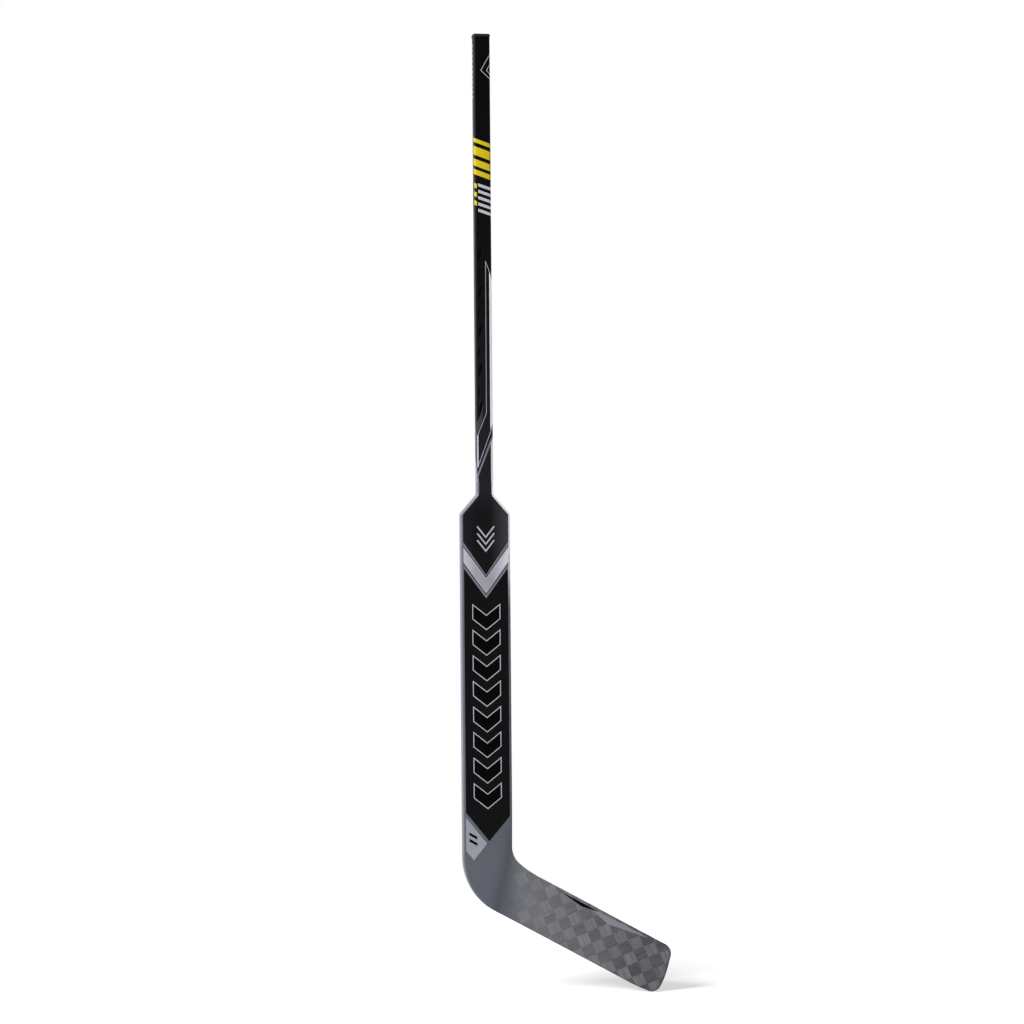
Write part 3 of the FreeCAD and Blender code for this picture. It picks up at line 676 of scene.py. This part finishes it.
def film(name, patches, place, finish, thickness=FILM):
    """A thin piece made of flat patches, cut at the bends and laid on a surface."""
    sheet = bmesh.new()
    for corners in patches:
        sheet.faces.new([sheet.verts.new((across, 0, up)) for across, up in corners])
    bmesh.ops.triangulate(sheet, faces=sheet.faces[:])
    if place is round_shaft:
        for bend in BENDS:
            everything = sheet.verts[:] + sheet.edges[:] + sheet.faces[:]
            bmesh.ops.bisect_plane(sheet, geom=everything, plane_co=(bend, 0, 0), plane_no=(1, 0, 0))
    raised = bmesh.ops.extrude_face_region(sheet, geom=sheet.faces[:], use_keep_orig=True)
    for part in raised["geom"]:
        if isinstance(part, bmesh.types.BMVert):
            part.co.y = thickness
    for vert in sheet.verts:
        vert.co = Vector(place(*vert.co)) * MM
    bmesh.ops.recalc_face_normals(sheet, faces=sheet.faces[:])
    for face in sheet.faces:
        face.smooth = True
    for edge in sheet.edges:
        edge.smooth = edge.is_manifold and edge.calc_face_angle() < SHARP
    mesh = bpy.data.meshes.new(name)
    sheet.to_mesh(mesh)
    sheet.free()
    mesh.materials.append(finish)
    piece = bpy.data.objects.new(name, mesh)
    bpy.context.scene.collection.objects.link(piece)
    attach(piece, "root")
    return piece


print("films:", FILM, "mm thick, cut at", len(BENDS), "bends")

# %% [markdown]
# ## Lines as patches
# A pinstripe is a line of points with a width. A curve with a bevel would draw it too, but a round one,
# so the line is widened into flat patches instead, mitred where it bends, and a closed line gets a mitre
# at every corner.

# %% Ribbons and outlines
def ribbon(points, width):
    """Patches along a line of points, mitred at the bends."""
    normals = []
    for first, last in zip(points, points[1:]):
        along = (Vector(last) - Vector(first)).normalized()
        normals.append(Vector((-along.y, along.x)))
    edges = []
    for i, point in enumerate(points):
        near = normals[max(i - 1, 0)]
        far = normals[min(i, len(normals) - 1)]
        mitre = (near + far) / (1 + near.dot(far))
        edges.append((Vector(point) + mitre * width / 2, Vector(point) - mitre * width / 2))
    return [[a, b, d, c] for (a, b), (c, d) in zip(edges, edges[1:])]


def outline(points, width):
    """Patches for a closed line: it runs on past its ends, so that the last corner is mitred as well."""
    around = [points[-1], *points, points[0], points[1]]
    return ribbon(around, width)[1:-1]


print("a square outline has", len(outline([(0, 0), (1, 0), (1, 1), (0, 1)], 0.1)), "patches")

# %% [markdown]
# ## Stripes on the shaft
# Above the neck the black front is framed by silver pinstripes. One runs down the middle and leans out to
# the heel side at its foot, and from its tip another falls to the toe side. Below them a thin silver line
# and a broader band of lacquer cross the front on a slant, and a short silver strip stands on the
# heel-side corner. Such stripes are straight, so each is a line or a polygon with only the points that it
# needs.

# %% Pinstripes and bands
PINSTRIPE = 0.75
CROSS_LINE = 0.9
SLANTED_BAND = 3.0
FRAME_LINE = [(12.8, 358), (3.6, 383), (3.0, 119), (-12.2, 81)]
FOOT_LINE = [(-12.4, 26), (12.6, 93)]
BAND_LINE = [(-15.6, 4), (14.0, 79)]
HEEL_STRIP = [(-13.4, 79), (-11.6, 84), (-11.6, 32), (-12.6, 24), (-13.4, 24)]

stripes = ribbon(FRAME_LINE, PINSTRIPE) + ribbon(FOOT_LINE, CROSS_LINE)
film("shaft_pinstripes", stripes, round_shaft, silver_ink)
film("shaft_heel_strip", [HEEL_STRIP], round_shaft, silver_ink)
film("shaft_slanted_band", ribbon(BAND_LINE, SLANTED_BAND), round_shaft, edge_lacquer)
print("stripe patches:", len(stripes))

# %% [markdown]
# ## Wraps on the shaft's sides
# The colour of the paddle climbs the shaft's sides from the neck. On the heel side it is the paddle's
# lacquer, which soon gives way to charcoal. On the toe side pale silver wraps reach higher, drawn near
# white as a painted highlight that carries on the painted highlight of the paddle's shoulder. Each wrap
# runs from the front corner round to the back corner.

# %% Side wraps
BACK_CORNER = 36  # where the back corner ends; like the next values, in mm round the section
HEEL_CORNER = -14.6
TOE_CORNER = 14.0
HEEL_EDGE = -11.7
LOW_TOE_EDGE = 10.6
HIGH_TOE_EDGE = 9.9

heel_wrap = [
    (-BACK_CORNER, 0), (HEEL_EDGE, 0), (HEEL_EDGE, 13.5),
    (HEEL_CORNER, 8), (HEEL_CORNER, 22), (-BACK_CORNER, 50),
]
heel_fade = [(-BACK_CORNER, 50), (HEEL_CORNER, 22), (HEEL_CORNER, 86), (-BACK_CORNER, 130)]
low_toe_wrap = [(BACK_CORNER, 0), (LOW_TOE_EDGE, 0), (LOW_TOE_EDGE, 67), (BACK_CORNER, 130)]
high_toe_wrap = [
    (BACK_CORNER, 160), (TOE_CORNER, 100), (HIGH_TOE_EDGE, 90),
    (HIGH_TOE_EDGE, 364.5), (TOE_CORNER, 353), (BACK_CORNER, 296),
]
film("shaft_heel_wrap", [heel_wrap], round_shaft, edge_lacquer)
film("shaft_heel_fade", [heel_fade], round_shaft, charcoal_ink)
# The toe-side wraps: silver ink with a painted highlight
film("shaft_toe_wrap", [low_toe_wrap, high_toe_wrap], round_shaft, pale_silver_highlight_ink)
print("side wraps end at", BACK_CORNER, "mm round the section")

# %% [markdown]
# ## Colour on the shaft
# Higher up, the shaft carries a block of yellow and a block of grey. Plain slanted bars of those colours
# stand there, with small yellow ticks on the heel side and two open silver lines near the top. A maker
# would screen-print them in one pass for each colour, so bars of one kind are one film.

# %% Yellow and grey bars
def slanted_bar(left, right, foot, height, rise):
    """One bar across the shaft, higher at its heel end."""
    return [(left, foot + rise), (right, foot), (right, foot + height), (left, foot + rise + height)]


YELLOW_FOOT = 524
YELLOW_ROWS = ((0, 9), (15, 12), (34, 15), (56, 7))  # each bar's height above the first, and its own height
GREY_FOOT = 462
GREY_PITCH = 11
GREY_ROWS = 5
LOW_TICK_FOOT = 480
LOW_TICK_PITCH = 15
LOW_TICK_ROWS = 3
HIGH_TICK_FOOT = 667
HIGH_TICK_PITCH = 9
HIGH_TICK_ROWS = 11
TOP_LINE = 0.9
OUTER_TOP_LINE = [(15.0, 746), (-2, 716), (15.0, 700)]
INNER_TOP_LINE = [(15.0, 728), (8, 716), (15.0, 708)]

yellow_bars = []
for step, height in YELLOW_ROWS:
    yellow_bars.append(slanted_bar(left=-23, right=16.2, foot=YELLOW_FOOT + step, height=height, rise=14))
grey_bars = []
for row in range(GREY_ROWS):
    foot = GREY_FOOT + GREY_PITCH * row
    grey_bars.append(slanted_bar(left=-8.5, right=15.4, foot=foot, height=5.2, rise=8))
side_ticks = []
for row in range(LOW_TICK_ROWS):
    foot = LOW_TICK_FOOT + LOW_TICK_PITCH * row
    side_ticks.append(slanted_bar(left=-17.5, right=-10.6, foot=foot, height=8, rise=3))
for row in range(HIGH_TICK_ROWS):
    foot = HIGH_TICK_FOOT + HIGH_TICK_PITCH * row
    side_ticks.append(slanted_bar(left=-29, right=-24, foot=foot, height=5, rise=2))
top_lines = ribbon(OUTER_TOP_LINE, TOP_LINE) + ribbon(INNER_TOP_LINE, TOP_LINE)
film("shaft_yellow_bars", yellow_bars, round_shaft, yellow_ink)
film("shaft_grey_bars", grey_bars, round_shaft, silver_ink)
film("shaft_yellow_ticks", side_ticks, round_shaft, yellow_ink)
film("shaft_top_lines", top_lines, round_shaft, silver_ink)
print("bars:", len(yellow_bars) + len(grey_bars), "ticks:", len(side_ticks))

# %% [markdown]
# ## Grip bars
# Low raised leaves of soft rubber are printed down the heel side of the front, where the upper hand
# slides, a large and a small one in each row. They are as black as the lacquer and only their lower gloss
# sets them off. A charcoal tail runs out below them, and a thin rubber seam crosses the front higher up.
# The rows are alike, so a loop moves one pair of leaves down the shaft.

# %% Grip bars
GRIP_TOP = 396
GRIP_PITCH = 67.4
GRIP_ROWS = 5
GRIP_THICKNESS = 0.25
SEAM = 0.8
LARGE_LEAF = [(-11.4, -15), (-4.7, 1), (-3.6, 15), (-10.0, 3)]
SMALL_LEAF = [(-11.6, 19), (-8.4, 30), (-8.0, 42), (-11.4, 32)]
GRIP_TAIL = [
    (-13.4, 88), (-13.4, 104), (-11.2, 107), (-5.2, 121), (-3.3, 133), (-2.2, 133), (-5.3, 104), (-11.5, 86),
]
SEAM_LINE = [(-10.5, 668), (13.5, 657)]

grip_bars = []
for row in range(GRIP_ROWS):
    middle = GRIP_TOP - GRIP_PITCH * row
    for leaf in (LARGE_LEAF, SMALL_LEAF):
        grip_bars.append([(across, middle + up) for across, up in leaf])
film("shaft_grip_bars", grip_bars, round_shaft, grip_rubber, thickness=GRIP_THICKNESS)
film("shaft_grip_tail", [GRIP_TAIL], round_shaft, charcoal_ink)
film("shaft_wrap_seam", ribbon(SEAM_LINE, SEAM), round_shaft, grip_rubber)
print("grip bars:", len(grip_bars))

# %% [markdown]
# ## Chevrons on the panel and the crest
# The long dark panel carries a column of open chevrons: each a deep black fill with a thin silver line on
# it, so that the panel itself looks a shade greyer around it. The crest has three short nested V lines.
# The fill is the same chevron with a margin all round, so one function gives the corners of both.

# %% Open chevrons and crest lines
def open_chevron(top, half, drop, band):
    """The corners of a chevron that points down the paddle."""
    left = [(0, top - drop - band), (-half, top - band)]
    return [(-half, top), (0, top - drop), (half, top), (half, top - band), *left]


CHEVRON_TOP = -214
CHEVRON_PITCH = 44.5
CHEVRON_ROWS = 8
CHEVRON_HALF = 24
CHEVRON_DROP = 19
CHEVRON_BAND = 25
CHEVRON_LINE = 1.45
CHEVRON_SLOPE = CHEVRON_DROP / CHEVRON_HALF
FILL_MARGIN = 2.0
FILL_HALF = CHEVRON_HALF + 0.8 * FILL_MARGIN
FILL_DROP = CHEVRON_SLOPE * FILL_HALF
FILL_BAND = CHEVRON_BAND + 2 * FILL_MARGIN
FILL_RISE = FILL_MARGIN + FILL_DROP - CHEVRON_DROP
CREST_TOP = -78
CREST_PITCH = 12
CREST_ROWS = 3
CREST_HALF = 15
CREST_DROP = 19
CREST_LINE = 2.4

open_chevrons = []
chevron_fills = []
for row in range(CHEVRON_ROWS):
    top = CHEVRON_TOP - CHEVRON_PITCH * row
    open_chevrons += outline(open_chevron(top, CHEVRON_HALF, CHEVRON_DROP, CHEVRON_BAND), CHEVRON_LINE)
    chevron_fills.append(open_chevron(top + FILL_RISE, FILL_HALF, FILL_DROP, FILL_BAND))
crest_lines = []
for row in range(CREST_ROWS):
    top = CREST_TOP - CREST_PITCH * row
    crest_lines += ribbon([(-CREST_HALF, top), (0, top - CREST_DROP), (CREST_HALF, top)], CREST_LINE)
print("open chevrons:", len(chevron_fills), "line patches:", len(open_chevrons) + len(crest_lines))

# %% [markdown]
# ## Edges of the bright chevron
# The bright chevron is edged with a dark line above and below, a thin glint runs inside each edge, and a
# slate-coloured band parts it from the crest and from the panel. Edges and bands are all V shapes between
# two levels, and a level is two heights: one at the sides and one at the point.

# %% Chevron edges, bands and glints
def v_band(half, top, foot):
    """Two patches that make a V across the paddle, between a top level and a foot level."""
    side_top, point_top = top
    side_foot, point_foot = foot
    return [
        [(-half, side_top), (-half, side_foot), (0, point_foot), (0, point_top)],
        [(half, side_top), (0, point_top), (0, point_foot), (half, side_foot)],
    ]


BRIGHT_HALF = 39.8
PANEL_HALF = 39.4
CREST_FOOT = (-105.5, -162.7)
UPPER_EDGE = (-111.4, -165.4)
BRIGHT_TOP = (-114.0, -168.0)
BRIGHT_FOOT = (-141.1, -195.1)
LOWER_EDGE = (-143.8, -197.8)
PANEL_TOP = (-150.2, -203.0)
GLINT_LEVELS = ((-115.6, -169.6), (-140.3, -193.6))
GLINT_HALF = 39.1
GLINT = 0.9

chevron_edges = v_band(BRIGHT_HALF, UPPER_EDGE, BRIGHT_TOP)
chevron_edges += v_band(BRIGHT_HALF, BRIGHT_FOOT, LOWER_EDGE)
slate_bands = v_band(BRIGHT_HALF, CREST_FOOT, UPPER_EDGE)
slate_bands += v_band(PANEL_HALF, LOWER_EDGE, PANEL_TOP)
chevron_glints = []
for side_height, point_height in GLINT_LEVELS:
    glint_line = [(-GLINT_HALF, side_height), (0, point_height), (GLINT_HALF, side_height)]
    chevron_glints += ribbon(glint_line, GLINT)
print("edge patches:", len(chevron_edges) + len(slate_bands), "glint patches:", len(chevron_glints))

# %% [markdown]
# ## Prints on both faces
# A goalie turns the stick round, so front and back carry the same prints. Only the kite, with its two
# short dark bars, is on the front alone. Prints on vinyl start from the face of the film, and those
# beside it from the paint, so that none of them floats or sinks in.

# %% Lay the paddle prints
FILL_THICKNESS = 0.04
KITE_LEFT = -33
KITE_RIGHT = -19
KITE_TOPS = (-610, -621)
KITE_BAR = 5
KITE_SLANT = 8

for side, turn in (("front", 1), ("back", -1)):
    vinyl = paddle_face(turn, VINYL_FACE)
    fill = paddle_face(turn, VINYL_FACE + FILL_THICKNESS)
    paint = paddle_face(turn, PAINT_FACE)
    film(side + "_chevron_fills", chevron_fills, vinyl, flash_vinyl, thickness=FILL_THICKNESS)
    film(side + "_open_chevrons", open_chevrons, fill, silver_ink)
    film(side + "_crest_lines", crest_lines, vinyl, silver_ink)
    film(side + "_chevron_glints", chevron_glints, vinyl, silver_ink)
    film(side + "_chevron_edges", chevron_edges, paint, dark_ink)
    film(side + "_slate_bands", slate_bands, paint, slate_ink)
kite_bars = [
    [
        (KITE_LEFT, top), (KITE_LEFT, top - KITE_BAR),
        (KITE_RIGHT, top - KITE_SLANT - KITE_BAR), (KITE_RIGHT, top - KITE_SLANT),
    ]
    for top in KITE_TOPS
]
film("heel_kite_bars", kite_bars, paddle_face(1, VINYL_FACE), flash_vinyl)
print("paddle prints laid on both faces; kite bars:", len(kite_bars))

# %% [markdown]
# ## The floor
# The stick stands on a round matt floor in a white room. A floor that is white only by the lamps' light
# would need so much of it that the stick washed out. So the floor has a little light of its own, for the
# camera and in mirror images alone: full at the rim, where it meets the white room, and half as strong
# near the stick, where it still takes a shadow.

# %% Floor
FLOOR_RADIUS = 1.1
FLOOR_SIDES = 96
FLOOR_GAP = 0.5 * MM
GLOW_START = 0.3
GLOW_END = 0.95 * FLOOR_RADIUS
GLOW_NEAR = 0.5
WHITE = linear("#FFFFFF")


def seen_directly(tree):
    """1 for what the camera sees, in mirrors and through clear bodies too, and 0 for light on things."""
    path = add(tree, "LightPath")
    camera_or_mirror = add(tree, "Math", {
        0: path.outputs["Is Camera Ray"], 1: path.outputs["Is Glossy Ray"],
    }, operation="MAXIMUM")
    return add(tree, "Math", {
        0: camera_or_mirror, 1: path.outputs["Is Transmission Ray"],
    }, operation="MAXIMUM")


angles = [math.tau * side / FLOOR_SIDES for side in range(FLOOR_SIDES)]
rim = [(FLOOR_RADIUS * math.cos(angle), FLOOR_RADIUS * math.sin(angle), 0) for angle in angles]
floor_mesh = bpy.data.meshes.new("floor")
floor_mesh.from_pydata(rim, [], [range(FLOOR_SIDES)])
floor = bpy.data.objects.new("floor", floor_mesh)
floor.location.z = cad_box[0].z - FLOOR_GAP
bpy.context.scene.collection.objects.link(floor)
floor_paint, tree, shader = begin("matt_white_floor", "#B0B0B0", Roughness=0.9, Emission_Color=WHITE)
reach = add(tree, "VectorMath", {0: add(tree, "TexCoord").outputs["Object"]}, operation="LENGTH")
glow = add(tree, "MapRange", {
    "Value": reach, "From Min": GLOW_START, "From Max": GLOW_END, "To Min": GLOW_NEAR, "To Max": 1.0,
}, interpolation_type="SMOOTHSTEP")
lit = add(tree, "Math", {0: seen_directly(tree), 1: glow}, operation="MULTIPLY")
connect(shader, {"Emission Strength": lit})
floor_mesh.materials.append(floor_paint)
print("floor", 2 * FLOOR_RADIUS, "m across, at height", round(floor.location.z, 4))

# %% [markdown]
# ## The room and the lamps
# The room is white to the camera and in mirror images, but gives the stick little light: an even white
# light from all sides would turn the black parts grey and take the roundness from the edges. So three
# soft lamps do the work: a strong one high in front on the heel side, a broad one behind on the heel side
# for the rounded edges, and a weak one on the toe side.

# %% World and lamps
ROOM_LIGHT = 0.1
LAMP_TARGET = Vector((0, 0, 0.2))

world = bpy.data.worlds.new("white_room")
bpy.context.scene.world = world
world.use_nodes = True
tree = world.node_tree
white = add(tree, "Background", {"Color": WHITE, "Strength": 1.0})
dim = add(tree, "Background", {"Color": WHITE, "Strength": ROOM_LIGHT})
room = add(tree, "MixShader", {0: seen_directly(tree), 1: dim, 2: white})
connect(tree.nodes["World Output"], {"Surface": room})


def softbox(name, place, width, height, watts, spread=180):
    """A rectangular lamp that faces the stick. A spread below 180 degrees narrows its beam."""
    lamp = bpy.data.lights.new(name, "AREA")
    lamp.shape = "RECTANGLE"
    lamp.size = width
    lamp.size_y = height
    lamp.energy = watts
    lamp.spread = math.radians(spread)
    stand = bpy.data.objects.new(name, lamp)
    stand.location = place
    stand.rotation_euler = (LAMP_TARGET - Vector(place)).to_track_quat("-Z", "Y").to_euler()
    bpy.context.scene.collection.objects.link(stand)
    print(name, watts, "W at", place)


softbox("heel_side_softbox", place=(-2.0, 1.1, 0.3), width=1.8, height=2.6, watts=34)
softbox("toe_side_softbox", place=(2.0, 0.1, 0.5), width=1.2, height=1.6, watts=3.5, spread=60)
softbox("front_softbox", place=(-3.0, -1.7, 2.0), width=1.4, height=1.4, watts=320)
